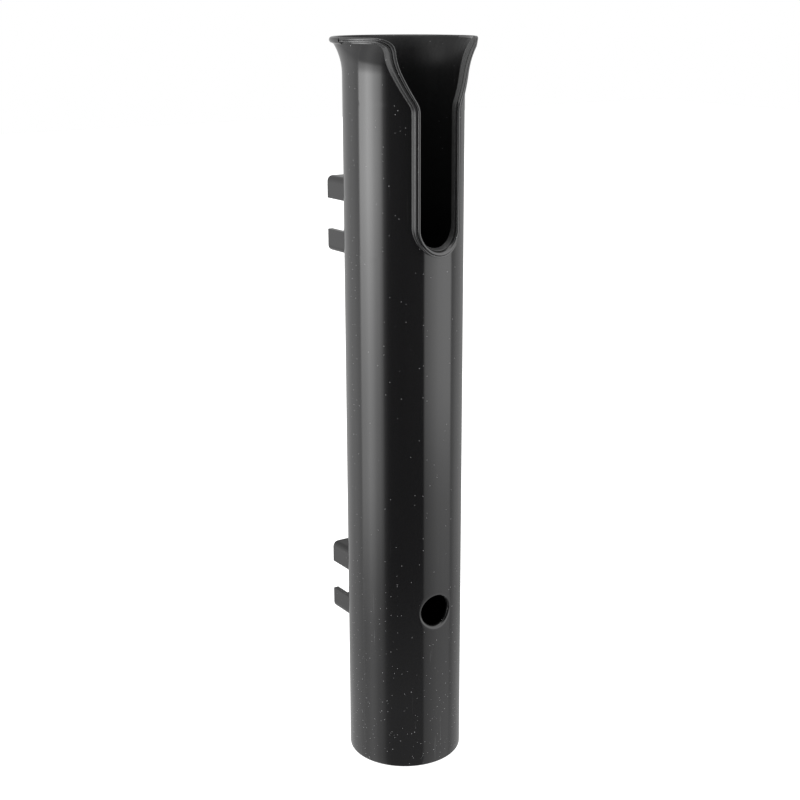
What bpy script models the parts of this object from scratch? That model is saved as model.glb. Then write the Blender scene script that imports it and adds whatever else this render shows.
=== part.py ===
"""Side-mount rod holder: a flared tube with a slotted mouth, two stand-off brackets and their bolts.

The tube stands along +Z, the slot faces -Y and the brackets face +Y. Every piece is modelled round the tube's
axis, and is then moved by FRAME_SHIFT, so that the origin is under the middle of the whole object.
"""

import math

import bmesh
import bpy

MM = 0.001

# Tube
TUBE_LENGTH = 305.0 * MM
TUBE_RADIUS = 24.2 * MM
WALL = 1.9 * MM
BORE_RADIUS = TUBE_RADIUS - WALL
FLOOR_THICKNESS = 3.0 * MM
DRAIN_RADIUS = 8.0 * MM
BOTTOM_EDGE_RADIUS = 0.6 * MM

# Flare and rim
FLARE_DEPTH = 14.2 * MM
FLARE_CURVE_RADIUS = 22.3 * MM
RIM_RADIUS = 29.1 * MM
BEAD_RADIUS = 1.2 * MM
INNER_EDGE_DEPTH = 1.0 * MM

# Mouth: a V that runs down into a straight slot with a round end
SLOT_HALF_WIDTH = 8.6 * MM
SLOT_END_HEIGHT = 232.8 * MM
V_BOTTOM_HEIGHT = 279.3 * MM
V_ANGLE = math.radians(30.4)
V_BEND_RADIUS = 8.6 * MM
V_CURVE_RADIUS = 80.0 * MM
SHOULDER_RADIUS = 6.8 * MM
SLOT_FLOOR_SLOPE = 0.35

# Edge guard: a soft edging that is pushed over the mouth's edge, with a leg in the cut and a raised outer side
GUARD_WIDTH = 2.45 * MM
GUARD_HEIGHT = 2.4 * MM
GUARD_LEG = 0.95 * MM
GUARD_EDGE = 0.5 * MM
GUARD_END = -0.2 * MM
SKIN = 0.06 * MM
GAP = 0.3 * MM

# Access hole, in line with the lower bolt
ACCESS_HOLE_RADIUS = 7.1 * MM

# Brackets
BRACKET_HEIGHTS = {"upper": SLOT_END_HEIGHT, "lower": 70.5 * MM}
BRACKET_HALF_WIDTH = 14.7 * MM
BRACKET_HALF_HEIGHT = 15.7 * MM
BRACKET_BACK = 35.2 * MM
BRACKET_WALL = 2.3 * MM
BRACKET_CORNER_RADIUS = 2.4 * MM
WEB_BACK = 27.2 * MM
WEB_HALF_WIDTH = 9.4 * MM
NOTCH_HALF_HEIGHT = 6.45 * MM

# Fasteners: M5
BOLT_RADIUS = 2.5 * MM
BOLT_HOLE_RADIUS = 2.8 * MM
BOLT_END = 34.4 * MM
HEAD_RADIUS = 4.75 * MM
HEAD_HEIGHT = 3.0 * MM
SOCKET_RADIUS = 1.8 * MM
SOCKET_DEPTH = 1.8 * MM
WASHER_RADIUS = 5.0 * MM
WASHER_THICKNESS = 1.0 * MM
SPOT_FACE_RADIUS = 5.6 * MM
SPOT_FACE_Y = BORE_RADIUS + 0.1 * MM
NUT_HEIGHT = 4.8 * MM
NUT_HALF_FLATS = 4.0 * MM

# Butt pad
PAD_THICKNESS = 6.0 * MM
PAD_HOLE_RADIUS = 5.0 * MM
PAD_EDGE = 1.0 * MM

WELD = 0.005 * MM
TURN_STEPS = 72
REACH = 45.0 * MM
ARC_STEPS = 10

FRAME_SHIFT = -(BRACKET_BACK - TUBE_RADIUS - GUARD_HEIGHT) / 2

COLLECTION_NAME = "rod_holder"
CUTTER_COLLECTION_NAME = "rod_holder_cutters"


# ---------------------------------------------------------------- scene helpers


def clear_scene():
    """Removes every object, and starts the part's and the cutters' collections."""
    for item in list(bpy.data.objects):
        bpy.data.objects.remove(item, do_unlink=True)
    for name in (COLLECTION_NAME, CUTTER_COLLECTION_NAME):
        collection = bpy.data.collections.get(name) or bpy.data.collections.new(name)
        if collection.name not in bpy.context.scene.collection.children:
            bpy.context.scene.collection.children.link(collection)


def place(item, collection_name):
    """Moves an object to one collection."""
    for collection in list(item.users_collection):
        collection.objects.unlink(item)
    bpy.data.collections[collection_name].objects.link(item)
    return item


def new_material(name, color, roughness, metallic):
    """A Principled BSDF material."""
    material = bpy.data.materials.new(name)
    material.use_nodes = True
    shader = material.node_tree.nodes["Principled BSDF"]
    shader.inputs["Base Color"].default_value = (*color, 1.0)
    shader.inputs["Roughness"].default_value = roughness
    shader.inputs["Metallic"].default_value = metallic
    return material


def as_mesh(item, weld=0.0):
    """Replaces an object by the mesh that its modifiers or its curve make, and welds its seams."""
    graph = bpy.context.evaluated_depsgraph_get()
    graph.update()
    mesh = bpy.data.meshes.new_from_object(item.evaluated_get(graph))
    if weld:
        work = bmesh.new()
        work.from_mesh(mesh)
        bmesh.ops.remove_doubles(work, verts=work.verts, dist=weld)
        work.to_mesh(mesh)
        work.free()
    name = item.name
    solid = bpy.data.objects.new(name + "_solid", mesh)
    solid.matrix_world = item.matrix_world.copy()
    bpy.context.scene.collection.objects.link(solid)
    bpy.data.objects.remove(item, do_unlink=True)
    solid.name = name
    return solid


def turned(name, profile, steps=TURN_STEPS):
    """A (radius, height) profile turned about Z. It runs down its outer side, and closes unless it ends on the axis."""
    mesh = bpy.data.meshes.new(name)
    points = [(radius, 0.0, height) for radius, height in profile]
    edges = [(i, i + 1) for i in range(len(points) - 1)]
    if profile[0][0] > 0.0:
        edges.append((len(points) - 1, 0))
    mesh.from_pydata(points, edges, [])
    item = bpy.data.objects.new(name, mesh)
    bpy.context.scene.collection.objects.link(item)
    screw = item.modifiers.new("turn", "SCREW")
    screw.axis = "Z"
    screw.steps = steps
    screw.render_steps = steps
    screw.use_merge_vertices = True
    screw.merge_threshold = 0.00001
    screw.use_smooth_shade = True
    return as_mesh(item, WELD)


def prism(name, outline, y_front, y_back):
    """A flat (x, z) outline extruded along Y."""
    curve = bpy.data.curves.new(name, "CURVE")
    curve.dimensions = "2D"
    curve.fill_mode = "BOTH"
    curve.extrude = (y_back - y_front) / 2
    spline = curve.splines.new("POLY")
    spline.points.add(len(outline) - 1)
    for point, (x, z) in zip(spline.points, outline):
        point.co = (x, z, 0.0, 1.0)
    spline.use_cyclic_u = True
    item = bpy.data.objects.new(name, curve)
    bpy.context.scene.collection.objects.link(item)
    item.rotation_euler = (math.radians(90), 0.0, 0.0)
    item.location = (0.0, (y_front + y_back) / 2, 0.0)
    bpy.context.view_layer.update()
    return as_mesh(item, WELD)


def cylinder_along_y(name, radius, y_front, y_back, height, sides=40):
    """A cylinder on the Y axis at a height."""
    bpy.ops.mesh.primitive_cylinder_add(
        vertices=sides,
        radius=radius,
        depth=y_back - y_front,
        location=(0.0, (y_front + y_back) / 2, height),
        rotation=(math.radians(90), 0.0, 0.0),
    )
    item = bpy.context.object
    item.name = name
    return item


def block(name, low, high):
    """A box between two corners."""
    bpy.ops.mesh.primitive_cube_add(size=1.0)
    item = bpy.context.object
    item.name = name
    item.dimensions = [b - a for a, b in zip(low, high)]
    item.location = [(a + b) / 2 for a, b in zip(low, high)]
    bpy.ops.object.transform_apply(location=False, rotation=False, scale=True)
    return item


def combine(item, other, operation):
    """A Boolean modifier whose other object becomes a hidden cutter."""
    place(other, CUTTER_COLLECTION_NAME)
    other.display_type = "WIRE"
    other.hide_render = True
    modifier = item.modifiers.new(operation.lower() + "_" + other.name, "BOOLEAN")
    modifier.operation = operation
    modifier.object = other
    modifier.solver = "EXACT"


def finish_part(item, material, sharp_angle=35.0):
    """Moves a part to its place and collection, gives it its material and shades its round faces smooth."""
    item.location.y += FRAME_SHIFT
    place(item, COLLECTION_NAME)
    item.data.materials.clear()
    item.data.materials.append(material)
    item.data.shade_smooth()
    item.data.set_sharp_from_angle(angle=math.radians(sharp_angle))


# ---------------------------------------------------------------- profiles and outlines


def arc(center, radius, start, end, steps=ARC_STEPS):
    """Points on an arc, with its angles in radians."""
    points = []
    for i in range(steps + 1):
        angle = start + (end - start) * i / steps
        points.append((center[0] + radius * math.cos(angle), center[1] + radius * math.sin(angle)))
    return points


def flare_radius(height, offset=0.0, top=TUBE_LENGTH - 2 * BEAD_RADIUS):
    """The tube's outer radius at a height, moved out by an offset: straight, then an arc out to the rim."""
    rise = min(height, top) - (TUBE_LENGTH - FLARE_DEPTH)
    rise = max(rise, 0.0)
    spread = FLARE_CURVE_RADIUS - math.sqrt(FLARE_CURVE_RADIUS**2 - rise**2)
    return TUBE_RADIUS + offset + spread


def flare_heights(top=TUBE_LENGTH - 2 * BEAD_RADIUS, steps=7):
    """Heights along the flare, from its top down to the straight tube."""
    bottom = TUBE_LENGTH - FLARE_DEPTH
    return [top + (bottom - top) * i / steps for i in range(steps + 1)]


def bore_points():
    """The tube's inner face from the straight bore up to the rim, with a rounded inner edge."""
    top = TUBE_LENGTH - INNER_EDGE_DEPTH
    points = [(flare_radius(z, -WALL, top), z) for z in reversed(flare_heights(top))]
    points.append((RIM_RADIUS - BEAD_RADIUS - 0.6 * MM, TUBE_LENGTH - 0.25 * MM))
    return points


def shell_profile(inner_offset, outer_offset, rim_radius, low, top):
    """A wall that follows the flare between two offsets from the tube's outer face."""
    heights = [top, *flare_heights()]
    outer = [(min(flare_radius(z, outer_offset), rim_radius), z) for z in heights]
    outer += [(min(TUBE_RADIUS + outer_offset, rim_radius), low)]
    inner = [(flare_radius(z, inner_offset), z) for z in [low, *reversed(flare_heights())]]
    inner += [(inner[-1][0], top)]
    return outer + inner


def mouth_outline(offset):
    """The mouth seen from the front, grown by an offset into the wall. The V's sides get steeper as they rise."""
    bend_x = SLOT_HALF_WIDTH + V_BEND_RADIUS
    bend_z = V_BOTTOM_HEIGHT - V_BEND_RADIUS * math.tan(V_ANGLE / 2)
    curve_x = bend_x - (V_BEND_RADIUS + V_CURVE_RADIUS) * math.cos(V_ANGLE)
    curve_z = bend_z + (V_BEND_RADIUS + V_CURVE_RADIUS) * math.sin(V_ANGLE)
    shoulder_z = TUBE_LENGTH - SHOULDER_RADIUS
    top_angle = math.asin((curve_z - shoulder_z) / (V_CURVE_RADIUS + SHOULDER_RADIUS))
    shoulder_x = curve_x + (V_CURVE_RADIUS + SHOULDER_RADIUS) * math.cos(top_angle)
    side = arc((0.0, SLOT_END_HEIGHT), SLOT_HALF_WIDTH + offset, -math.pi / 2, 0.0, 2 * ARC_STEPS)
    side += arc((bend_x, bend_z), V_BEND_RADIUS - offset, math.pi, math.pi - V_ANGLE, 5)
    side += arc((curve_x, curve_z), V_CURVE_RADIUS + offset, -V_ANGLE, -top_angle, 6)[1:]
    side += arc((shoulder_x, shoulder_z), SHOULDER_RADIUS - offset, math.pi - top_angle, math.pi / 2)[1:]
    side += [(REACH, TUBE_LENGTH - offset), (REACH, TUBE_LENGTH + REACH)]
    return side + [(-x, z) for x, z in reversed(side[1:])]


def mouth_prism(name, offset, back=GUARD_END):
    """The mouth as a solid through the tube's front half. The slot's round end slopes down to the front."""
    work = bmesh.new()
    corners = [work.verts.new((x, -REACH, z)) for x, z in mouth_outline(offset)]
    front = work.faces.new(corners)
    extruded = bmesh.ops.extrude_face_region(work, geom=[front], use_keep_orig=True)["geom"]
    moved = [part for part in extruded if isinstance(part, bmesh.types.BMVert)]
    bmesh.ops.translate(work, verts=moved, vec=(0.0, back + REACH, 0.0))
    bmesh.ops.recalc_face_normals(work, faces=work.faces)
    for vertex in work.verts:
        if vertex.co.z < SLOT_END_HEIGHT + 0.1 * MM:
            vertex.co.z += SLOT_FLOOR_SLOPE * (vertex.co.y + TUBE_RADIUS)
    mesh = bpy.data.meshes.new(name)
    work.to_mesh(mesh)
    work.free()
    item = bpy.data.objects.new(name, mesh)
    bpy.context.scene.collection.objects.link(item)
    return item


# ---------------------------------------------------------------- parts


def make_tube_body(material):
    """The moulded tube: flare, rim bead, floor, mouth, access hole and bolt holes."""
    bead_center = (RIM_RADIUS - BEAD_RADIUS, TUBE_LENGTH - BEAD_RADIUS)
    profile = arc(bead_center, BEAD_RADIUS, math.pi / 2, -math.pi / 2, 8)
    profile += [(flare_radius(z), z) for z in flare_heights()[1:]]
    profile += arc(
        (TUBE_RADIUS - BOTTOM_EDGE_RADIUS, BOTTOM_EDGE_RADIUS), BOTTOM_EDGE_RADIUS, 0.0, -math.pi / 2, 3
    )
    profile += [(DRAIN_RADIUS, 0.0), (DRAIN_RADIUS, FLOOR_THICKNESS), (BORE_RADIUS, FLOOR_THICKNESS)]
    profile += bore_points()
    body = turned("tube_body", profile)
    combine(body, mouth_prism("mouth_cut", GUARD_LEG + GAP), "DIFFERENCE")

    # On the rim's front half the guard takes the bead's place
    low = SLOT_END_HEIGHT - 20 * MM
    outside = RIM_RADIUS + 8 * MM
    seat = turned("guard_seat", shell_profile(SKIN, outside, outside, low, TUBE_LENGTH + 5 * MM))
    combine(seat, mouth_prism("seat_outline", GUARD_WIDTH + GAP, GUARD_END + 0.1 * MM), "INTERSECT")
    combine(body, as_mesh(seat), "DIFFERENCE")

    access = cylinder_along_y("access_cut", ACCESS_HOLE_RADIUS, -REACH, 0.0, BRACKET_HEIGHTS["lower"], 48)
    combine(body, access, "DIFFERENCE")
    for level, height in BRACKET_HEIGHTS.items():
        spot = cylinder_along_y(level + "_spot_face", SPOT_FACE_RADIUS, 0.0, SPOT_FACE_Y, height)
        combine(body, spot, "DIFFERENCE")
        hole = cylinder_along_y(level + "_tube_hole", BOLT_HOLE_RADIUS, 0.0, REACH, height, 24)
        combine(body, hole, "DIFFERENCE")
    body = as_mesh(body)
    finish_part(body, material)


def make_edge_guard(material):
    """The soft edging: a leg that lines the cut, and a raised outer side that covers the tube's edge."""
    low = SLOT_END_HEIGHT - 20 * MM
    top = TUBE_LENGTH
    leg_outer = SKIN + GAP + 0.3 * MM
    heights = [top, *flare_heights()]
    leg_profile = [(flare_radius(z, leg_outer), z) for z in heights] + [(TUBE_RADIUS + leg_outer, low)]
    leg_profile += [(BORE_RADIUS, low), *bore_points(), (RIM_RADIUS - BEAD_RADIUS, top)]
    leg = turned("leg_blank", leg_profile)
    combine(leg, mouth_prism("leg_outline", GUARD_LEG), "INTERSECT")

    # The raised side: a wide lower step and a narrower upper one stand in for its rounded outer corner
    wide = turned("wide_blank", shell_profile(SKIN + GAP, GUARD_HEIGHT - GUARD_EDGE, RIM_RADIUS, low, top))
    combine(wide, mouth_prism("wide_outline", GUARD_WIDTH), "INTERSECT")
    narrow = turned("narrow_blank", shell_profile(SKIN + GAP + 0.2 * MM, GUARD_HEIGHT, RIM_RADIUS, low, top))
    combine(narrow, mouth_prism("narrow_outline", GUARD_WIDTH - GUARD_EDGE), "INTERSECT")
    guard = as_mesh(leg)
    combine(guard, as_mesh(wide), "UNION")
    combine(guard, as_mesh(narrow), "UNION")
    combine(guard, mouth_prism("guard_opening", 0.0), "DIFFERENCE")
    ends = block("guard_ends", (-REACH, GUARD_END - GAP, 0.0), (REACH, REACH, TUBE_LENGTH + REACH))
    combine(guard, ends, "DIFFERENCE")
    guard = as_mesh(guard)
    guard.name = "slot_edge_guard"
    finish_part(guard, material)


def make_butt_pad(material):
    """The soft disc that the rod's butt stands on, with a drain hole and a dished top edge."""
    radius = BORE_RADIUS - GAP
    low = FLOOR_THICKNESS + GAP
    high = low + PAD_THICKNESS
    profile = [
        (PAD_HOLE_RADIUS + PAD_EDGE, high),
        (radius - PAD_EDGE, high),
        (radius, high - PAD_EDGE),
        (radius, low),
        (PAD_HOLE_RADIUS, low),
        (PAD_HOLE_RADIUS, high - PAD_EDGE),
    ]
    finish_part(turned("butt_pad", profile, 48), material)


def rounded_rectangle(half_width, half_height, radius, height):
    """A rounded rectangle round a height, as (x, z) points."""
    points = []
    for i, (side, level) in enumerate([(1, 1), (-1, 1), (-1, -1), (1, -1)]):
        center = (side * (half_width - radius), height + level * (half_height - radius))
        start = i * math.pi / 2
        points += arc(center, radius, start, start + math.pi / 2, 5)
    return points


def make_bracket(level, height, material):
    """A stand-off box, open at the back, on a web that fits the tube. Each side has a gap at mid height."""
    outer = rounded_rectangle(BRACKET_HALF_WIDTH, BRACKET_HALF_HEIGHT, BRACKET_CORNER_RADIUS, height)
    inner = rounded_rectangle(
        BRACKET_HALF_WIDTH - BRACKET_WALL, BRACKET_HALF_HEIGHT - BRACKET_WALL, 0.8 * MM, height
    )
    bracket = prism(level + "_bracket", outer, 10 * MM, BRACKET_BACK)
    combine(bracket, prism(level + "_cavity", inner, WEB_BACK, REACH), "DIFFERENCE")
    bpy.ops.mesh.primitive_cylinder_add(
        vertices=96, radius=TUBE_RADIUS + GAP, depth=50 * MM, location=(0.0, 0.0, height)
    )
    saddle = bpy.context.object
    saddle.name = level + "_saddle"
    combine(bracket, saddle, "DIFFERENCE")
    for side in (-1, 1):
        edges = sorted((side * WEB_HALF_WIDTH, side * REACH))
        low = (edges[0], 0.0, height - NOTCH_HALF_HEIGHT)
        high = (edges[1], REACH, height + NOTCH_HALF_HEIGHT)
        side_name = "left" if side < 0 else "right"
        combine(bracket, block(level + "_notch_" + side_name, low, high), "DIFFERENCE")
    hole = cylinder_along_y(level + "_web_hole", BOLT_HOLE_RADIUS, 0.0, REACH, height, 24)
    combine(bracket, hole, "DIFFERENCE")
    bracket = as_mesh(bracket)
    finish_part(bracket, material)


def turned_along_y(name, profile, height, steps=32):
    """A (radius, distance) profile turned about the bolt's axis, which points to +Y."""
    item = turned(name, profile, steps)
    item.rotation_euler = (math.radians(-90), 0.0, 0.0)
    item.location = (0.0, 0.0, height)
    bpy.context.view_layer.update()
    return item


def make_washer(name, front, height, material):
    """A flat washer whose front face is at a distance along Y."""
    back = front + WASHER_THICKNESS
    profile = [
        (BOLT_HOLE_RADIUS, back),
        (WASHER_RADIUS, back),
        (WASHER_RADIUS, front),
        (BOLT_HOLE_RADIUS, front),
    ]
    finish_part(turned_along_y(name, profile, height), material)


def make_bolt(level, head_back, height, material):
    """A pan-head bolt with a hexagon socket. Its head is inside the tube."""
    head_front = head_back - HEAD_HEIGHT
    tip = BOLT_END
    profile = [(0.0, tip), (BOLT_RADIUS - 0.5 * MM, tip), (BOLT_RADIUS, tip - 0.6 * MM)]
    profile += [(BOLT_RADIUS, head_back), (HEAD_RADIUS, head_back), (HEAD_RADIUS, head_back - 1.2 * MM)]
    profile += [(HEAD_RADIUS - 0.6 * MM, head_back - 2.3 * MM), (HEAD_RADIUS - 1.8 * MM, head_front)]
    profile += [(0.0, head_front)]
    bolt = turned_along_y(level + "_bracket_bolt", profile, height)
    socket_back = head_front + SOCKET_DEPTH
    socket = cylinder_along_y(level + "_socket", SOCKET_RADIUS, head_front - 2 * MM, socket_back, height, 6)
    combine(bolt, socket, "DIFFERENCE")
    finish_part(as_mesh(bolt), material)


def make_lock_nut(level, front, height, material):
    """A hexagon nut with a round collar at its back."""
    corner_radius = NUT_HALF_FLATS / math.cos(math.pi / 6)
    hexagon_back = front + NUT_HEIGHT - 1.2 * MM
    nut = cylinder_along_y(level + "_lock_nut", corner_radius, front, hexagon_back, height, 6)
    collar_profile = [(1.0 * MM, front + NUT_HEIGHT), (NUT_HALF_FLATS - 0.6 * MM, front + NUT_HEIGHT)]
    collar_profile += [(NUT_HALF_FLATS - 0.2 * MM, front + NUT_HEIGHT - 0.6 * MM)]
    collar_profile += [(NUT_HALF_FLATS - 0.2 * MM, front + 1.0 * MM), (1.0 * MM, front + 1.0 * MM)]
    combine(nut, turned_along_y(level + "_nut_collar", collar_profile, height), "UNION")
    bore = cylinder_along_y(level + "_nut_bore", BOLT_HOLE_RADIUS, 0.0, REACH, height, 24)
    combine(nut, bore, "DIFFERENCE")
    finish_part(as_mesh(nut), material)


def make_fasteners(level, height, steel):
    """One bracket's bolt, its two washers and its nut, in the order that they stack along Y."""
    head_washer_front = SPOT_FACE_Y - GAP - WASHER_THICKNESS
    nut_washer_front = WEB_BACK + GAP
    make_washer(level + "_head_washer", head_washer_front, height, steel)
    make_bolt(level, head_washer_front - GAP, height, steel)
    make_washer(level + "_nut_washer", nut_washer_front, height, steel)
    make_lock_nut(level, nut_washer_front + WASHER_THICKNESS + GAP, height, steel)


def main():
    """Builds the rod holder."""
    clear_scene()
    black_plastic = new_material("black_plastic", (0.012, 0.012, 0.013), 0.32, 0.0)
    black_edging = new_material("black_edging", (0.014, 0.014, 0.015), 0.4, 0.0)
    black_rubber = new_material("black_rubber", (0.02, 0.02, 0.02), 0.75, 0.0)
    stainless = new_material("stainless_steel", (0.55, 0.55, 0.56), 0.3, 1.0)
    make_tube_body(black_plastic)
    make_edge_guard(black_edging)
    make_butt_pad(black_rubber)
    for level, height in BRACKET_HEIGHTS.items():
        make_bracket(level, height, black_plastic)
        make_fasteners(level, height, stainless)


main()
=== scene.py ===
"""The rod holder's looks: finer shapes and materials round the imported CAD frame, with a floor and a light.

Shapes are worked out in millimetres round the tube's axis, and to_frame() puts them into the frame in metres.
"""

import math

import bmesh
import bpy
from mathutils import Matrix, Vector


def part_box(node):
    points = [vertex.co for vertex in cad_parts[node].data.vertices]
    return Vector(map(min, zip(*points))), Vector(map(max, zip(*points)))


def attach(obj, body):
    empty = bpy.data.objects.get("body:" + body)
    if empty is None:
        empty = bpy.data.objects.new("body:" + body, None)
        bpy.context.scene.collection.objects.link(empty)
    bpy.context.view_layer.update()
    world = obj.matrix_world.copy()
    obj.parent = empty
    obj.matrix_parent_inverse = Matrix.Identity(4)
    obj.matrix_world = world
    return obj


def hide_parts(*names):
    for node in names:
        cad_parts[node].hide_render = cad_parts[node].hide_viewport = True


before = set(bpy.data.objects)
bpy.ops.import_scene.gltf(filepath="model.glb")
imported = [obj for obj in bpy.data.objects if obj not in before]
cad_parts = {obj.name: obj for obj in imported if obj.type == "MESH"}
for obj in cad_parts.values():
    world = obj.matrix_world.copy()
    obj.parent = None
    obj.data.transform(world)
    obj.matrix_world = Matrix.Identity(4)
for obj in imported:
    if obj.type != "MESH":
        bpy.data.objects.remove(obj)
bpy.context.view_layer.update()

# Sizes in millimetres: the tube
LENGTH = 305.0
TUBE_R = 24.2
WALL = 1.9
BORE_R = TUBE_R - WALL
FLOOR = 3.0
FOOT_R = 0.6
DRAIN_R = 8.0
DRAIN_EDGE = 0.4
DRAIN_TOP_EDGE = 0.3
FLARE_DEPTH = 14.2
FLARE_CURVE = 22.3
RIM_R = 29.1
BEAD_R = 1.2

# The slot, the V above it, and the edging round them
SLOT_HALF = 8.6
SLOT_END = 232.8
V_BOTTOM = 279.3
V_ANGLE = math.radians(30.4)
V_BEND = 8.6
V_CURVE = 80.0
SHOULDER_R = 6.8
FLOOR_SLOPE = 0.35
GUARD_HEIGHT = 2.4
RIM_NARROWING = 0.82
NARROWING_RATE = 3.0
CUT_FACE_TOP = 0.5
BORE_EDGE = 0.6

# Where the edging, its seat and the rear bead meet at the side of the rim, by angle from the front
GUARD_END = math.radians(91.4)
SEAT_END = math.radians(92.5)
REAR_START = math.radians(92.8)

# The access hole and the bolt seats
ACCESS_R = 6.6
ACCESS_EDGE = 1.4
ACCESS_BACK_EDGE = 0.25
ACCESS_Z = 70.9
SPOT_FACE_R = 5.6
SPOT_FACE_Y = BORE_R + 0.1
BOLT_HOLE_R = 2.8
BOLT_HOLE_BACK = TUBE_R + 5.0
BRACKET_HEIGHTS = {"upper": SLOT_END, "lower": 70.5}
AXIS_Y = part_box("tube_body")[1].y * 1000.0 - RIM_R

# Mesh density, in steps along each stretch
SLOT_STEPS = 20
FLANK_STEPS = 18
BEND_STEPS = 5
V_STEPS = 10
RIM_STEPS = 44
REAR_STEPS = 40
TOP_ROWS = 8
BARREL_ROWS = 40
LOW_ROWS = 20
FOOT_STEPS = 4
FOOT_RINGS = (20.0, 16.0, 12.0)
FLOOR_RING = 14.0
PATCH_HALF_WIDTH = 10.5
PATCH_HALF_ROWS = 12
PATCH_ROW = 1.0
PATCH_STEPS = 5
ACCESS_EDGE_STEPS = 7
CUTTER_SIDES = 64
CUTTER_TURN = 0.02


def to_frame(point):
    """A point in millimetres round the tube's axis, in the frame's metres."""
    return (point[0] / 1000.0, (point[1] + AXIS_Y) / 1000.0, point[2] / 1000.0)


def from_frame(point):
    """A point in the frame's metres, in millimetres round the tube's axis."""
    return (point[0] * 1000.0, point[1] * 1000.0 - AXIS_Y, point[2] * 1000.0)


# ---------------------------------------------------------------- camera and light


CAMERA_PLACE = (-316.36, -472.28, 318.57)
CAMERA_LENS = 63.64
CAMERA_SENSOR = 36.0
CAMERA_SHIFT = (-0.0006, -0.0102)
VIEW_AZIMUTH = math.radians(-33.66)
VIEW_PITCH = math.radians(15.49)
VIEW_ROLL = -0.0028


def make_camera():
    """The camera, at the photograph's viewing angle."""
    data = bpy.data.cameras.new("camera")
    camera = bpy.data.objects.new("camera", data)
    bpy.context.scene.collection.objects.link(camera)
    data.lens = CAMERA_LENS
    data.sensor_width = CAMERA_SENSOR
    data.shift_x, data.shift_y = CAMERA_SHIFT
    data.clip_start = 0.01
    data.clip_end = 50.0
    turn = Matrix.Rotation(VIEW_AZIMUTH, 4, "Z")
    tilt = Matrix.Rotation(math.pi / 2 - VIEW_PITCH, 4, "X")
    roll = Matrix.Rotation(VIEW_ROLL, 4, "Z")
    camera.matrix_world = Matrix.Translation(to_frame(CAMERA_PLACE)) @ turn @ tilt @ roll
    bpy.context.scene.camera = camera


def set_ramp(ramp, stops):
    """Gives a ColorRamp its grey stops."""
    while len(ramp.elements) > 1:
        ramp.elements.remove(ramp.elements[-1])
    ramp.elements[0].position = stops[0][0]
    ramp.elements[0].color = (stops[0][1],) * 3 + (1.0,)
    for position, value in stops[1:]:
        ramp.elements.new(position).color = (value,) * 3 + (1.0,)


class Graph:
    """A short way to add shader nodes and links."""

    def __init__(self, tree):
        self.tree = tree

    def add(self, kind, inputs=None, **settings):
        node = self.tree.nodes.new(kind)
        for key, value in settings.items():
            setattr(node, key, value)
        for key, value in (inputs or {}).items():
            if isinstance(value, bpy.types.NodeSocket):
                self.tree.links.new(value, node.inputs[key])
            else:
                node.inputs[key].default_value = value
        return node

    def math(self, operation, a, b=0.0):
        return self.add("ShaderNodeMath", {0: a, 1: b}, operation=operation).outputs[0]

    def ramp(self, factor, stops):
        node = self.add("ShaderNodeValToRGB", {"Fac": factor})
        set_ramp(node.color_ramp, stops)
        return node.outputs["Color"]

    def mix(self, first, second, share, blend="MIX"):
        inputs = {0: share, 6: first, 7: second}
        return self.add("ShaderNodeMix", inputs, data_type="RGBA", blend_type=blend).outputs[2]

    def noise(self, where, scale, detail=2.0):
        inputs = {"Vector": where, "Scale": scale, "Detail": detail}
        return self.add("ShaderNodeTexNoise", inputs).outputs["Fac"]

    def stretched(self, where, scale, turn=(0.0, 0.0, 0.0)):
        inputs = {"Vector": where, "Scale": scale, "Rotation": turn}
        return self.add("ShaderNodeMapping", inputs).outputs[0]

    def dot(self, vector, axis):
        inputs = {0: vector, 1: axis}
        return self.add("ShaderNodeVectorMath", inputs, operation="DOT_PRODUCT").outputs["Value"]

    def tinted(self, color, other, share):
        return self.mix((*color, 1.0), (*other, 1.0), share)

    def between(self, value, low, high, start=0.0, end=1.0):
        inputs = {0: value, 1: low, 2: high, 3: start, 4: end}
        return self.add("ShaderNodeMapRange", inputs).outputs[0]


# Light round the object, by angle in degrees from the camera's side to its right. The stops were worked out
# from brightness levels read in the photograph, and then adjusted against renders.
STUDIO_LIGHT = [
    (-180, 0.6),
    (-158, 0.68),
    (-138, 0.9),
    (-122, 1.08),
    (-112, 1.3),
    (-93.5, 1.3),
    (-92.0, 4.9),
    (-85, 5.5),
    (-78, 6.4),
    (-72, 7.7),
    (-63.5, 6.9),
    (-57, 5.3),
    (-50, 4.3),
    (-44, 3.2),
    (-38.5, 0.9),
    (-32, 0.25),
    (-25, 0.1),
    (0, 0.05),
    (38.5, 0.08),
    (40, 1.65),
    (56, 2.36),
    (70, 2.86),
    (85, 2.68),
    (102, 2.1),
    (105, 0.66),
    (121, 0.84),
    (140, 0.68),
    (157, 0.45),
    (180, 0.6),
]
STUDIO_PEAK = 9.0
LEFT_REAR_LIMIT = -92.8
RIGHT_REAR_LIMIT = 103.5

# Light by height, where 0 is straight down, 0.5 level and 1 straight up: below level, then from level up
LEFT_FALL = [(0.0, 0.14), (0.268, 0.145), (0.287, 0.165), (0.303, 0.235), (0.332, 0.46), (0.366, 0.55)]
LEFT_FALL += [(0.387, 0.64), (0.409, 0.77), (0.44, 1.0)]
RIGHT_FALL = [(0.0, 0.3), (0.268, 0.31), (0.287, 0.335), (0.303, 0.4), (0.332, 0.5), (0.366, 0.92)]
RIGHT_FALL += [(0.405, 1.0)]
REAR_FALL = [(0.0, 0.55), (0.268, 0.56), (0.287, 0.64), (0.303, 0.74), (0.332, 0.9), (0.366, 1.0)]
LEFT_HIGH = [(0.48, 1.0), (0.56, 0.5), (0.85, 0.35), (1.0, 0.4)]
RIGHT_HIGH = [(0.48, 1.0), (0.56, 0.95), (0.9, 0.9), (1.0, 0.6)]
REAR_HIGH = [(0.48, 1.0), (0.56, 0.9), (0.75, 0.8), (1.0, 0.6)]
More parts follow.
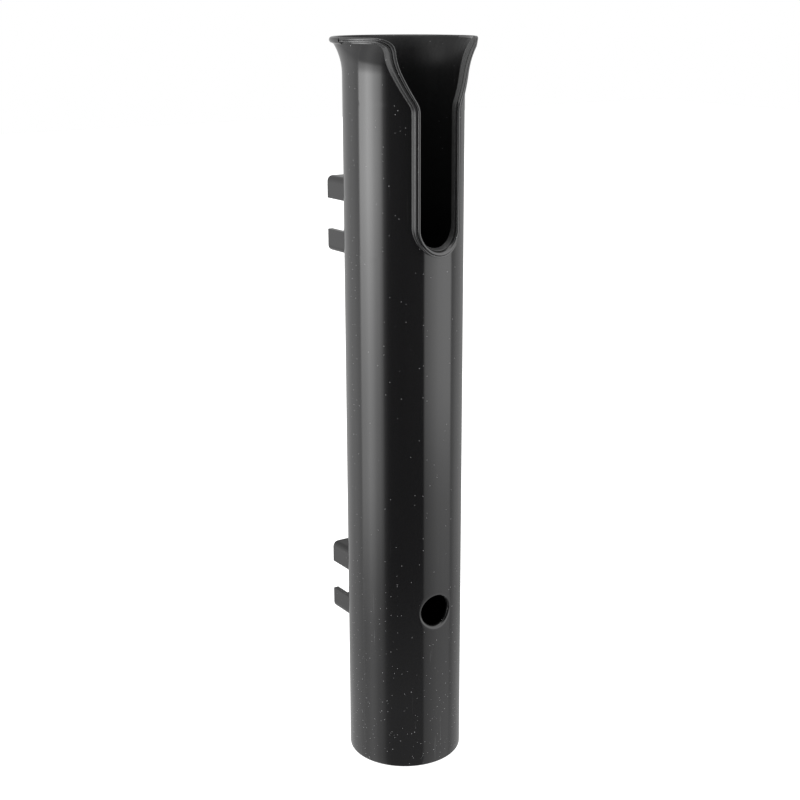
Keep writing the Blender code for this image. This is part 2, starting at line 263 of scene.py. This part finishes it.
ENDS_GLOW = [(0.0, 0.03), (0.265, 0.03), (0.29, 0.012), (0.3, 0.004), (0.34, 0.0), (0.9, 0.0), (0.96, 0.08)]
ENDS_GLOW += [(1.0, 0.1)]


def make_studio():
    """A room in the world shader: bright left, weaker right and dark front. The camera itself sees white."""
    scene = bpy.context.scene
    scene.view_settings.view_transform = "Standard"
    world = bpy.data.worlds.new("studio")
    scene.world = world
    world.use_nodes = True
    tree = world.node_tree
    tree.nodes.clear()
    g = Graph(tree)
    direction = g.add("ShaderNodeTexCoord").outputs["Generated"]
    right = (math.cos(VIEW_AZIMUTH), math.sin(VIEW_AZIMUTH), 0.0)
    toward = (math.sin(VIEW_AZIMUTH), -math.cos(VIEW_AZIMUTH), 0.0)
    across = g.dot(direction, right)
    along = g.dot(direction, toward)
    angle = g.math("ARCTAN2", across, along)
    turn = g.math("ADD", g.math("DIVIDE", angle, 2 * math.pi), 0.5)
    sides = g.ramp(turn, [((a + 180) / 360, value / STUDIO_PEAK) for a, value in STUDIO_LIGHT])
    height = g.add("ShaderNodeSeparateXYZ", {0: direction}).outputs["Z"]
    level = g.math("ADD", g.math("MULTIPLY", height, 0.5), 0.5)
    fall_left = g.ramp(level, LEFT_FALL + LEFT_HIGH)
    fall_right = g.ramp(level, RIGHT_FALL + RIGHT_HIGH)
    fall_rear = g.ramp(level, REAR_FALL + REAR_HIGH)
    is_left = g.math("LESS_THAN", across, 0.0)
    is_left_rear = g.math("LESS_THAN", angle, math.radians(LEFT_REAR_LIMIT))
    is_right_rear = g.math("GREATER_THAN", angle, math.radians(RIGHT_REAR_LIMIT))
    is_rear = g.math("MAXIMUM", is_left_rear, is_right_rear)
    fall = g.mix(g.mix(fall_right, fall_left, is_left), fall_rear, is_rear)
    lit = g.mix(g.mix(sides, fall, 1.0, "MULTIPLY"), g.ramp(level, ENDS_GLOW), 1.0, "ADD")
    is_camera = g.add("ShaderNodeLightPath").outputs["Is Camera Ray"]
    studio = g.add("ShaderNodeBackground", {"Color": lit, "Strength": STUDIO_PEAK})
    backdrop = g.add("ShaderNodeBackground", {"Color": (1.0, 1.0, 1.0, 1.0), "Strength": 1.0})
    mixed = g.add("ShaderNodeMixShader", {0: is_camera, 1: studio.outputs[0], 2: backdrop.outputs[0]})
    g.add("ShaderNodeOutputWorld", {"Surface": mixed.outputs[0]})


FLOOR_SIZE = 6.0
FLOOR_GAP = 0.0002


def make_floor():
    """A plain pale floor that glows a little, and that the object's gloss doesn't mirror."""
    bpy.ops.mesh.primitive_plane_add(size=FLOOR_SIZE, location=(0.0, 0.0, -FLOOR_GAP))
    floor = bpy.context.object
    floor.name = "floor"
    material = bpy.data.materials.new("floor_pale")
    material.use_nodes = True
    shader = material.node_tree.nodes["Principled BSDF"]
    shader.inputs["Base Color"].default_value = (0.45, 0.45, 0.45, 1.0)
    shader.inputs["Roughness"].default_value = 0.9
    shader.inputs["Specular IOR Level"].default_value = 0.0
    shader.inputs["Emission Color"].default_value = (1.0, 1.0, 1.0, 1.0)
    shader.inputs["Emission Strength"].default_value = 1.0
    floor.data.materials.append(material)
    floor.visible_glossy = False


make_camera()
make_studio()
make_floor()


# ---------------------------------------------------------------- shape of the tube and its mouth


def lerp(a, b, share):
    """The value at a share of the way from a to b."""
    return a + (b - a) * share


def arc_spread(rise):
    """How far the flare's arc has moved out at a rise above its start."""
    return FLARE_CURVE - math.sqrt(FLARE_CURVE**2 - rise**2)


def surface_r(z):
    """The tube's outer radius at a height: straight, then an arc out to the rim."""
    return TUBE_R + arc_spread(min(max(z - (LENGTH - FLARE_DEPTH), 0.0), FLARE_DEPTH - 2 * BEAD_R))


def bore_r(z):
    """The tube's inner radius at a height. The flare's arc goes on up to the rim's edge."""
    return BORE_R + arc_spread(min(max(z - (LENGTH - FLARE_DEPTH), 0.0), FLARE_DEPTH))


def radius_at(z, depth):
    """The radius at a depth over the tube's surface: -WALL is the bore, and GUARD_HEIGHT stays in the rim."""
    outer = surface_r(z)
    if depth <= 0.0:
        return lerp(outer, bore_r(z), -depth / WALL)
    return outer + depth * min(1.0, (RIM_R - outer) / GUARD_HEIGHT)


# Centres of the arcs in a side of the mouth: the V's lower bend, its curved side and its shoulder
BEND_X = SLOT_HALF + V_BEND
BEND_Z = V_BOTTOM - V_BEND * math.tan(V_ANGLE / 2)
CURVE_X = BEND_X - (V_BEND + V_CURVE) * math.cos(V_ANGLE)
CURVE_Z = BEND_Z + (V_BEND + V_CURVE) * math.sin(V_ANGLE)
SHOULDER_Z = LENGTH - SHOULDER_R
TOP_ANGLE = math.asin((CURVE_Z - SHOULDER_Z) / (V_CURVE + SHOULDER_R))
SHOULDER_X = CURVE_X + (V_CURVE + SHOULDER_R) * math.cos(TOP_ANGLE)


def side_points(offset):
    """The mouth's side as (x, z), grown by an offset: the slot's end and flank, the bend and the V's side."""
    points = []
    for i in range(SLOT_STEPS + 1):
        angle = -math.pi / 2 + math.pi / 2 * i / SLOT_STEPS
        radius = SLOT_HALF + offset
        points.append((radius * math.cos(angle), SLOT_END + radius * math.sin(angle)))
    for i in range(1, FLANK_STEPS):
        points.append((SLOT_HALF + offset, lerp(SLOT_END, BEND_Z, i / FLANK_STEPS)))
    for i in range(BEND_STEPS + 1):
        angle = math.pi - V_ANGLE * i / BEND_STEPS
        radius = V_BEND - offset
        points.append((BEND_X + radius * math.cos(angle), BEND_Z + radius * math.sin(angle)))
    for i in range(1, V_STEPS + 1):
        angle = -lerp(V_ANGLE, TOP_ANGLE, i / V_STEPS)
        radius = V_CURVE + offset
        points.append((CURVE_X + radius * math.cos(angle), CURVE_Z + radius * math.sin(angle)))
    return points


SIDE_COUNT = len(side_points(0.0))


def shoulder_height(x, offset):
    """The height of the shoulder and the rim's edge at an x, grown by an offset."""
    if x >= SHOULDER_X:
        return LENGTH - offset
    radius = SHOULDER_R - offset
    return SHOULDER_Z + math.sqrt(max(radius**2 - (SHOULDER_X - x) ** 2, 0.0))


def on_surface(x, z, depth):
    """A point at a depth over the tube's surface, on its front."""
    radius = radius_at(z, depth)
    return (x, -math.sqrt(max(radius**2 - x**2, 0.0)), z)


def side_point(depth, x, z):
    """A point beside the slot or the V. The slot's end slopes down to the front."""
    x, y, z = on_surface(x, z, depth)
    if z <= SLOT_END:
        z += FLOOR_SLOPE * (y + TUBE_R)
    return (x, y, z)


# The radius and the height on the flare depend on each other, and settle in a few rounds
SETTLE_ROUNDS = 6


def rim_point(offset, depth, share, start, end_angle):
    """A point at a share of the way round the shoulder and the rim's front half, where the edging narrows."""
    offset *= lerp(1.0, RIM_NARROWING, min(NARROWING_RATE * share, 1.0))
    radius = radius_at(start[1], depth)
    start_angle = math.asin(min(start[0] / radius, 1.0))
    angle = lerp(start_angle, end_angle, share)
    z = start[1]
    for _ in range(SETTLE_ROUNDS):
        radius = radius_at(z, depth)
        z = shoulder_height(radius * math.sin(angle), offset)
    radius = radius_at(z, depth)
    return (radius * math.sin(angle), -radius * math.cos(angle), z)


def edge_ring(offset, depth, end_angle):
    """The right half of a line that follows the mouth, from the slot's bottom to the rim's side."""
    sides = side_points(offset)
    ring = [side_point(depth, x, z) for x, z in sides]
    for i in range(1, RIM_STEPS + 1):
        ring.append(rim_point(offset, depth, i / RIM_STEPS, sides[-1], end_angle))
    return ring


def arc_points(center, radius, start, end, steps):
    """Points on an arc in a section, with its angles in degrees."""
    points = []
    for i in range(steps + 1):
        angle = math.radians(lerp(start, end, i / steps))
        points.append((center[0] + radius * math.cos(angle), center[1] + radius * math.sin(angle)))
    return points


# The tube's section under the edging, as (offset from the opening, depth over the tube's surface): up the cut,
# over its softened corner and out under the edging's foot
EDGE_OFFSET = 1.25
FOOT_OFFSET = 2.85
SEAT_SECTION = [(EDGE_OFFSET, -WALL), (EDGE_OFFSET, -1.4), (EDGE_OFFSET, -0.8), (EDGE_OFFSET, -0.3)]
SEAT_SECTION += [(1.32, -0.08), (1.5, 0.0), (1.8, 0.0), (2.1, 0.0), (2.35, 0.0), (2.5, 0.0), (2.65, 0.0)]
SEAT_SECTION += [(FOOT_OFFSET, 0.0)]


def bead_section():
    """The rear rim's bead as (radius, height), with as many points as the seat's section."""
    center = (RIM_R - BEAD_R, LENGTH - BEAD_R)
    start = (bore_r(LENGTH - EDGE_OFFSET), LENGTH - EDGE_OFFSET)
    points = [start, (bore_r(LENGTH - 0.55), LENGTH - 0.55), (center[0] - 0.35, LENGTH - 0.12)]
    points += arc_points(center, BEAD_R, 90, -90, len(SEAT_SECTION) - len(points) - 2)
    low = LENGTH - FOOT_OFFSET
    points.append((surface_r(low), low))
    return points


WELD = 0.002


def make_mesh_object(name, vertices, faces):
    """A mesh object from points in millimetres, with its seams welded and its faces turned outwards."""
    mesh = bpy.data.meshes.new(name)
    mesh.from_pydata([to_frame(v) for v in vertices], [], faces)
    work = bmesh.new()
    work.from_mesh(mesh)
    bmesh.ops.remove_doubles(work, verts=work.verts, dist=WELD / 1000.0)
    bmesh.ops.dissolve_degenerate(work, edges=work.edges, dist=WELD / 2000.0)
    bmesh.ops.recalc_face_normals(work, faces=work.faces)
    work.to_mesh(mesh)
    work.free()
    item = bpy.data.objects.new(name, mesh)
    bpy.context.scene.collection.objects.link(item)
    return item


class Sheet:
    """Collects grids of points into one mesh, each with its mirror image."""

    def __init__(self):
        self.vertices = []
        self.faces = []

    def grid(self, rows):
        """Joins rows of points that are all equally long, here and mirrored left to right."""
        for sign in (1.0, -1.0):
            first = len(self.vertices)
            for row in rows:
                self.vertices += [(sign * x, y, z) for x, y, z in row]
            width = len(rows[0])
            for j in range(len(rows) - 1):
                for i in range(width - 1):
                    a = first + j * width + i
                    self.faces.append((a, a + 1, a + 1 + width, a + width))


def round_ring(radius, z, angles):
    """Points round the tube at a height, at angles from the front."""
    return [(radius * math.sin(a), -radius * math.cos(a), z) for a in angles]


def wall_rows(depth, foot_ring):
    """One face of the tube's upper wall, right half, from the slot's bottom up to its edge ring."""
    columns = len(foot_ring) - SIDE_COUNT + 1
    corner = foot_ring[SIDE_COUNT - 1]
    angles = [math.atan2(p[0], -p[1]) for p in foot_ring[SIDE_COUNT - 1 :]]
    shares = [(a - angles[0]) / (math.pi - angles[0]) for a in angles]
    rows = []
    for x, y, z in foot_ring[:SIDE_COUNT]:
        start = math.atan2(x, -y)
        rows.append(round_ring(radius_at(z, depth), z, [lerp(start, math.pi, share) for share in shares]))
    rows[-1][0] = corner
    low = rows[-1]
    for j in range(1, TOP_ROWS):
        row = []
        for k in range(columns):
            z = lerp(low[k][2], foot_ring[SIDE_COUNT - 1 + k][2], j / TOP_ROWS)
            row += round_ring(radius_at(z, depth), z, [angles[k]])
        rows.append(row)
    rows.append(foot_ring[SIDE_COUNT - 1 :])
    return rows, shares


def patch_outline(columns):
    """The grid places (column, row) round the right half of the square of wall at the access hole."""
    outline = [(i, -PATCH_HALF_ROWS) for i in range(columns + 1)]
    outline += [(columns, j) for j in range(-PATCH_HALF_ROWS + 1, PATCH_HALF_ROWS + 1)]
    outline += [(i, PATCH_HALF_ROWS) for i in range(columns - 1, -1, -1)]
    return outline


def access_rings():
    """The access hole's rings from outside to bore, as (radius, depth, share of the way to the square)."""
    rings = [(ACCESS_R + ACCESS_EDGE, 0.0, step / PATCH_STEPS) for step in range(PATCH_STEPS, 0, -1)]
    for offset, depth in arc_points((ACCESS_EDGE, -ACCESS_EDGE), ACCESS_EDGE, 90, 180, ACCESS_EDGE_STEPS):
        rings.append((ACCESS_R + offset, depth, 0.0))
    rings += [(ACCESS_R, -WALL + ACCESS_BACK_EDGE, 0.0), (ACCESS_R + 0.08, -WALL + 0.07, 0.0)]
    rings += [(ACCESS_R + ACCESS_BACK_EDGE, -WALL, step / PATCH_STEPS) for step in range(PATCH_STEPS + 1)]
    return rings


def hole_patch(angles, columns):
    """Rows of points from the square of outer wall round the access hole, through it to the square inside."""
    outline = patch_outline(columns)
    rows = []
    for radius, depth, share in access_rings():
        row = []
        for n, (i, j) in enumerate(outline):
            turn = -math.pi / 2 + math.pi * n / (len(outline) - 1)
            reach = TUBE_R + depth
            square = (reach * math.sin(angles[i]), ACCESS_Z + j * PATCH_ROW)
            circle = (radius * math.cos(turn), ACCESS_Z + radius * math.sin(turn))
            x = lerp(circle[0], square[0], share)
            z = lerp(circle[1], square[1], share)
            row.append((x, -math.sqrt(reach**2 - x**2), z))
        rows.append(row)
    return rows


def add_barrel(sheet, top_row, depth, angles, patch_columns):
    """One face of the tube below the slot, in even rows, with a square left out round the access hole."""
    radius = TUBE_R + depth
    low = FOOT_R if depth == 0.0 else FLOOR
    patch_low = ACCESS_Z - PATCH_HALF_ROWS * PATCH_ROW
    patch_high = ACCESS_Z + PATCH_HALF_ROWS * PATCH_ROW
    upper = [top_row]
    for j in range(1, BARREL_ROWS + 1):
        row = []
        for point, angle in zip(top_row, angles):
            row += round_ring(radius, lerp(point[2], patch_high, j / BARREL_ROWS), [angle])
        upper.append(row)
    sheet.grid(upper)
    middle = [patch_high - j * PATCH_ROW for j in range(2 * PATCH_HALF_ROWS + 1)]
    sheet.grid([round_ring(radius, z, angles[patch_columns:]) for z in middle])
    sheet.grid([round_ring(radius, lerp(patch_low, low, j / LOW_ROWS), angles) for j in range(LOW_ROWS + 1)])


def foot_section():
    """The tube's lower end as (radius, height): rounded foot, underside, drain and the floor inside."""
    points = []
    for step in range(FOOT_STEPS + 1):
        angle = math.radians(90 * step / FOOT_STEPS)
        points.append((TUBE_R - FOOT_R + FOOT_R * math.cos(angle), FOOT_R - FOOT_R * math.sin(angle)))
    points += [(radius, 0.0) for radius in FOOT_RINGS]
    points += [(DRAIN_R + DRAIN_EDGE, 0.0), (DRAIN_R, DRAIN_EDGE), (DRAIN_R, FLOOR - DRAIN_TOP_EDGE)]
    points += [(DRAIN_R + DRAIN_TOP_EDGE, FLOOR), (FLOOR_RING, FLOOR), (BORE_R, FLOOR)]
    return points


def make_tube():
    """The tube with its flare, rim bead, guard seat, access hole, floor and drain, as one closed mesh."""
    sheet = Sheet()
    rear_angles = [lerp(REAR_START, math.pi, i / REAR_STEPS) for i in range(REAR_STEPS + 1)]
    edge_rows = []
    for (offset, depth), (radius, z) in zip(SEAT_SECTION, bead_section()):
        edge_rows.append(edge_ring(offset, depth, SEAT_END) + round_ring(radius, z, rear_angles))
    outer_rows, shares = wall_rows(0.0, edge_rows[-1])
    inner_rows, _ = wall_rows(-WALL, edge_rows[0])
    for rows in (edge_rows, outer_rows, inner_rows):
        sheet.grid(rows)

    angles = [math.pi * share for share in shares]
    patch_columns = next(i for i, angle in enumerate(angles) if angle * BORE_R > PATCH_HALF_WIDTH)
    add_barrel(sheet, outer_rows[0], 0.0, angles, patch_columns)
    add_barrel(sheet, inner_rows[0], -WALL, angles, patch_columns)
    sheet.grid(hole_patch(angles, patch_columns))
    sheet.grid([round_ring(radius, z, angles) for radius, z in foot_section()])
    return make_mesh_object("tube_shell", sheet.vertices, sheet.faces)


def add_cutter(radius, back, height):
    """A round cutter from the tube's axis to a place behind it.

    It is turned a little, so that no corner lies on the seam of the tube's two halves, where the Boolean leaves
    open edges.
    """
    work = bmesh.new()
    size = radius / 1000.0
    depth = back / 1000.0
    bmesh.ops.create_cone(work, cap_ends=True, segments=CUTTER_SIDES, radius1=size, radius2=size, depth=depth)
    place = Matrix.Translation(to_frame((0.0, back / 2, height))) @ Matrix.Rotation(math.pi / 2, 4, "X")
    bmesh.ops.transform(work, matrix=place @ Matrix.Rotation(CUTTER_TURN, 4, "Z"), verts=work.verts)
    mesh = bpy.data.meshes.new("bolt_seat_cutter")
    work.to_mesh(mesh)
    work.free()
    cutter = bpy.data.objects.new("bolt_seat_cutter", mesh)
    bpy.context.scene.collection.objects.link(cutter)
    return cutter


def cut_bolt_seats(item):
    """Cuts the spot faces for the head washers and the bolt holes into the tube's back wall."""
    cutters = []
    for height in BRACKET_HEIGHTS.values():
        for radius, back in ((SPOT_FACE_R, SPOT_FACE_Y), (BOLT_HOLE_R, BOLT_HOLE_BACK)):
            cutters.append(add_cutter(radius, back, height))
            cut = item.modifiers.new("bolt_seat", "BOOLEAN")
            cut.object = cutters[-1]
            cut.solver = "EXACT"
    graph = bpy.context.evaluated_depsgraph_get()
    item.data = bpy.data.meshes.new_from_object(item.evaluated_get(graph))
    item.modifiers.clear()
    for cutter in cutters:
        bpy.data.objects.remove(cutter, do_unlink=True)


# A bore face's normal leans towards the axis by more than the first share, and a cut face's normal leans along
# the radius by less than the second
BORE_LEAN = 0.2
CUT_FACE_LEAN = 0.75
DRAIN_MARGIN = 1.0


def mark_bore(tube):
    """Gives the second material to the tube's inner face, up to the rim's edge."""
    for polygon in tube.data.polygons:
        x, y, z = from_frame(polygon.center)
        radius = math.hypot(x, y)
        faces_axis = polygon.normal.x * x + polygon.normal.y * y < -BORE_LEAN * radius
        if faces_axis and z < LENGTH - BORE_EDGE and radius > DRAIN_R + DRAIN_MARGIN:
            polygon.material_index = 1


# The edge guard, round its section from the foot of its outer side: up that side, its first ridge, the groove,
# the quarter-round into the opening, the cut face with a crease, and the leg down to the bore and back up. Each
# point is (offset from the opening, depth over the tube's surface).
GUARD_SECTION = [(2.3, 0.02), (2.34, 0.12), (2.28, 0.3), (2.22, 0.7), (2.22, 1.3), (2.22, 1.8)]
GUARD_SECTION += arc_points((1.94, 1.87), 0.28, 10, 90, 4)
GUARD_SECTION += [(1.7, 2.15), (1.52, 2.14), (1.42, 2.05), (1.38, 1.8), (1.32, 1.6), (1.24, 1.6), (1.18, 1.8)]
GUARD_SECTION += [(1.16, 2.2), (1.1, 2.36)]
GUARD_SECTION += arc_points((0.9, 1.5), 0.9, 90, 180, 9)
GUARD_SECTION += [(0.0, 0.85), (0.03, 0.74), (0.16, 0.68), (0.16, 0.58), (0.03, 0.52), (0.0, 0.4)]
GUARD_SECTION += [(0.0, -0.3), (0.0, -1.0)]
GUARD_SECTION += arc_points((0.3, -WALL + 0.3), 0.3, 180, 270, 4)
GUARD_SECTION += [(0.8, -WALL), (1.1, -WALL + 0.06), (1.2, -WALL + 0.25), (1.2, -0.6), (1.2, -0.05)]
GUARD_SECTION += [(1.35, 0.02)]


def make_guard():
    """The edge guard, closed at both of its ends."""
    rings = [edge_ring(offset, depth, GUARD_END) for offset, depth in GUARD_SECTION]
    rings.append(rings[0])
    sheet = Sheet()
    sheet.grid(rings)
    count = len(rings[0])
    for half in range(2):
        first = half * count * len(rings)
        sheet.faces.append([first + j * count + count - 1 for j in range(len(rings) - 1)])
    return make_mesh_object("edge_guard", sheet.vertices, sheet.faces)


def mark_cut_face(guard):
    """Gives the second material to the faces that look into the opening, from the crease down."""
    for polygon in guard.data.polygons:
        x, y, z = from_frame(polygon.center)
        radius = math.hypot(x, y)
        faces_opening = abs(polygon.normal.x * x + polygon.normal.y * y) < CUT_FACE_LEAN * radius
        if radius - surface_r(z) < CUT_FACE_TOP and faces_opening:
            polygon.material_index = 1


SHARP_ANGLE = math.radians(40.0)


def shade_round(item):
    """Smooth shading, with the sharp edges kept."""
    item.data.shade_smooth()
    item.data.set_sharp_from_angle(angle=SHARP_ANGLE)


# ---------------------------------------------------------------- materials


def new_material(name, color, metallic=0.0, specular=0.5):
    """A Principled material, as (material, its graph, its shader, object coordinates)."""
    material = bpy.data.materials.new(name)
    material.use_nodes = True
    g = Graph(material.node_tree)
    shader = material.node_tree.nodes["Principled BSDF"]
    shader.inputs["Base Color"].default_value = (*color, 1.0)
    shader.inputs["Metallic"].default_value = metallic
    shader.inputs["Specular IOR Level"].default_value = specular
    return material, g, shader, g.add("ShaderNodeTexCoord").outputs["Object"]


def scaled(color, factor, lift=0.0):
    """A colour made lighter or darker."""
    return tuple(channel * factor + lift for channel in color)


def finish_surface(g, shader, rough, tint, *bumps):
    """Links a roughness, a tint and a chain of (height, strength, distance in metres) bumps to the shader."""
    g.tree.links.new(rough, shader.inputs["Roughness"])
    g.tree.links.new(tint, shader.inputs["Base Color"])
    inputs = {}
    for height, strength, distance in bumps:
        inputs.update({"Height": height, "Strength": strength, "Distance": distance})
        inputs = {"Normal": g.add("ShaderNodeBump", inputs).outputs[0]}
    g.tree.links.new(inputs["Normal"], shader.inputs["Normal"])


# Wear on the outer plastic is full below the first height and at its least above the second, in metres
WEAR_LOW = 0.015
WEAR_HIGH = 0.1
LEAST_WEAR = 0.16

# Dust as (cells per metre, size of a speck in a cell), and hairlines as (direction, how rare they are)
COARSE_DUST = (260.0, 0.055)
FINE_DUST = (620.0, 0.1)
BORE_DUST = (420.0, 0.08)
LONG_HAIRLINES = ((0.12, 0.2, 0.0), 0.71)
CROSS_HAIRLINES = ((1.3, 0.5, 0.2), 0.72)
HAIRLINE_STRETCH = (900.0, 900.0, 26.0)
HAIRLINE_WIDTH = 0.03
SPECK_BEND = 0.0002

# What wear adds to the roughness, and how much lighter it is
SMUDGE_ROUGH = 0.12
HAIRLINE_ROUGH = 0.22
DUST_ROUGH = 0.45
HAIRLINE_TINT = 0.15


def dust(g, where, cells, size, amount):
    """Specks of dust: 1 at a speck and 0 between. Only some of the cells hold one."""
    shift = g.add("ShaderNodeTexNoise", {"Vector": where, "Scale": cells * 4.0}).outputs["Color"]
    cell = g.add("ShaderNodeTexVoronoi", {"Vector": g.mix(where, shift, SPECK_BEND), "Scale": cells})
    near = g.math("LESS_THAN", cell.outputs["Distance"], size)
    pick = g.add("ShaderNodeSeparateColor", {0: cell.outputs["Color"]}).outputs[0]
    return g.math("MULTIPLY", near, g.math("LESS_THAN", pick, amount))


def hairlines(g, where, turn, low):
    """Fine scratches along one direction: 1 on a line and 0 between."""
    lines = g.noise(g.stretched(where, HAIRLINE_STRETCH, turn), 1.0, 3.0)
    return g.between(lines, low, low + HAIRLINE_WIDTH)


def black_plastic(name, color, roughness, grain, specks, specular=0.5):
    """Moulded black plastic with faint waves, and with hairlines, dust and smudges, mostly low down."""
    material, g, shader, where = new_material(name, color, specular=specular)
    height = g.add("ShaderNodeSeparateXYZ", {0: where}).outputs["Z"]
    wear = g.between(height, WEAR_LOW, WEAR_HIGH, 1.0, LEAST_WEAR)
    amount = g.math("MULTIPLY", wear, specks)
    spots = g.math("MAXIMUM", dust(g, where, *COARSE_DUST, amount), dust(g, where, *FINE_DUST, amount))
    lines = g.math("MAXIMUM", hairlines(g, where, *LONG_HAIRLINES), hairlines(g, where, *CROSS_HAIRLINES))
    lines = g.math("MULTIPLY", lines, wear)
    smudges = g.math("MULTIPLY", g.between(g.noise(where, 38.0, 5.0), 0.45, 0.8), wear)
    rough = g.math("ADD", roughness, g.math("MULTIPLY", smudges, SMUDGE_ROUGH))
    rough = g.math("ADD", rough, g.math("MULTIPLY", lines, HAIRLINE_ROUGH))
    rough = g.math("ADD", rough, g.math("MULTIPLY", spots, DUST_ROUGH))
    marks = g.math("MAXIMUM", spots, g.math("MULTIPLY", lines, HAIRLINE_TINT))
    tint = g.tinted(color, scaled(color, 8.0, 0.16), marks)
    waves = (g.noise(where, 24.0, 1.0), 0.5, 0.00006)
    grains = (g.noise(where, 1700.0, 3.0), grain, 0.00003)
    marks_height = (g.math("SUBTRACT", spots, lines), 0.25, 0.00003)
    finish_surface(g, shader, rough, tint, waves, grains, marks_height)
    return material


def dull_plastic(name, color):
    """The duller finish of the moulded bore, with faint draw lines along the tube and a little dust."""
    material, g, shader, where = new_material(name, color, specular=0.16)
    lines = g.noise(g.stretched(where, (700.0, 700.0, 12.0)), 1.0, 3.0)
    rough = g.between(lines, 0.3, 0.7, 0.36, 0.52)
    tint = g.tinted(color, scaled(color, 6.0, 0.05), dust(g, where, *BORE_DUST, 0.35))
    finish_surface(g, shader, rough, tint, (lines, 0.3, 0.00003))
    return material


def sawn_plastic(name, color):
    """The rough face of the cut round the mouth, with fine ridges and pits."""
    material, g, shader, where = new_material(name, color)
    ridges = g.noise(g.stretched(where, (700.0, 700.0, 2400.0)), 1.0, 4.0)
    pits = g.noise(where, 1500.0, 4.0)
    height = g.math("ADD", ridges, g.math("MULTIPLY", pits, 0.8))
    tint = g.tinted(color, scaled(color, 2.6), g.between(pits, 0.5, 0.8))
    finish_surface(g, shader, g.between(pits, 0.3, 0.7, 0.4, 0.62), tint, (height, 0.6, 0.00012))
    return material


def soft_rubber(name, color):
    """Matt rubber with a fine moulded grain and paler clouds."""
    material, g, shader, where = new_material(name, color)
    cloud = g.noise(where, 90.0, 5.0)
    tint = g.tinted(color, scaled(color, 2.2), g.between(cloud, 0.5, 0.75))
    grain = (g.noise(where, 2200.0, 3.0), 0.5, 0.0001)
    finish_surface(g, shader, g.between(cloud, 0.3, 0.7, 0.68, 0.9), tint, grain)
    return material


def turned_steel(name, color):
    """Stainless steel with fine turning marks and handling smears."""
    material, g, shader, where = new_material(name, color, metallic=1.0)
    marks = g.noise(g.stretched(where, (500.0, 9000.0, 500.0)), 1.0, 2.0)
    smears = g.noise(where, 420.0, 4.0)
    rough = g.math("ADD", g.between(marks, 0.3, 0.7, 0.16, 0.3), g.between(smears, 0.45, 0.8, 0.0, 0.18))
    tint = g.tinted(color, scaled(color, 0.72), g.between(smears, 0.4, 0.7))
    finish_surface(g, shader, rough, tint, (marks, 0.35, 0.00002))
    return material


# ---------------------------------------------------------------- pieces


# How CAD meshes are cleaned before their edges are rounded
MERGE_DISTANCE = 0.00001
FLAT_ANGLE = math.radians(1.5)


def softened(node, name, edge, segments=3):
    """A copy of a CAD node's mesh with its flat faces made whole and its edges rounded, in millimetres."""
    work = bmesh.new()
    work.from_mesh(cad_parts[node].data)
    bmesh.ops.remove_doubles(work, verts=work.verts, dist=MERGE_DISTANCE)
    flats = {"verts": work.verts, "edges": work.edges, "delimit": {"NORMAL"}}
    bmesh.ops.dissolve_limit(work, angle_limit=FLAT_ANGLE, **flats)
    mesh = bpy.data.meshes.new(name)
    work.to_mesh(mesh)
    work.free()
    item = bpy.data.objects.new(name, mesh)
    bpy.context.scene.collection.objects.link(item)
    bevel = item.modifiers.new("edges", "BEVEL")
    bevel.width = edge / 1000.0
    bevel.segments = segments
    bevel.limit_method = "ANGLE"
    bevel.angle_limit = SHARP_ANGLE
    shade_round(item)
    return item


def place_piece(item, node, slot, *materials):
    """Gives a piece its materials and its body, and hides its CAD node. The slot is not used."""
    item.data.materials.clear()
    for material in materials:
        item.data.materials.append(material)
    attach(item, "root")
    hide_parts(node)


plastic = black_plastic("plastic_black", (0.0068, 0.0067, 0.0071), 0.1, 0.03, 0.9)
# Painted light: the bore's base colour is a little paler than the outer plastic's, to lift the shaded inside of
# the tube
bore_plastic = dull_plastic("plastic_black_bore", (0.0085, 0.0085, 0.0088))
edging = black_plastic("edging_black", (0.02, 0.02, 0.0204), 0.17, 0.6, 1.0, specular=0.65)
sawn = sawn_plastic("edging_cut_face", (0.032, 0.032, 0.0323))
rubber = soft_rubber("rubber_black", (0.018, 0.018, 0.018))
steel = turned_steel("steel_stainless", (0.56, 0.56, 0.57))

tube = make_tube()
cut_bolt_seats(tube)
shade_round(tube)
place_piece(tube, "tube_body", "black_plastic", plastic, bore_plastic)
mark_bore(tube)

guard = make_guard()
shade_round(guard)
place_piece(guard, "slot_edge_guard", "black_edging", edging, sawn)
mark_cut_face(guard)

# Rounding of the edges, in millimetres
PAD_EDGE = 0.8
BRACKET_EDGE = 0.5
FASTENER_EDGES = {"bracket_bolt": 0.25, "head_washer": 0.15, "nut_washer": 0.15, "lock_nut": 0.3}

place_piece(softened("butt_pad", "rod_butt_pad", PAD_EDGE), "butt_pad", "black_rubber", rubber)
for level in BRACKET_HEIGHTS:
    bracket = softened(level + "_bracket", level + "_stand_off", BRACKET_EDGE)
    place_piece(bracket, level + "_bracket", "black_plastic", plastic)
    for kind, edge in FASTENER_EDGES.items():
        fastener = softened(level + "_" + kind, level + "_" + kind + "_steel", edge, segments=2)
        place_piece(fastener, level + "_" + kind, "stainless_steel", steel)
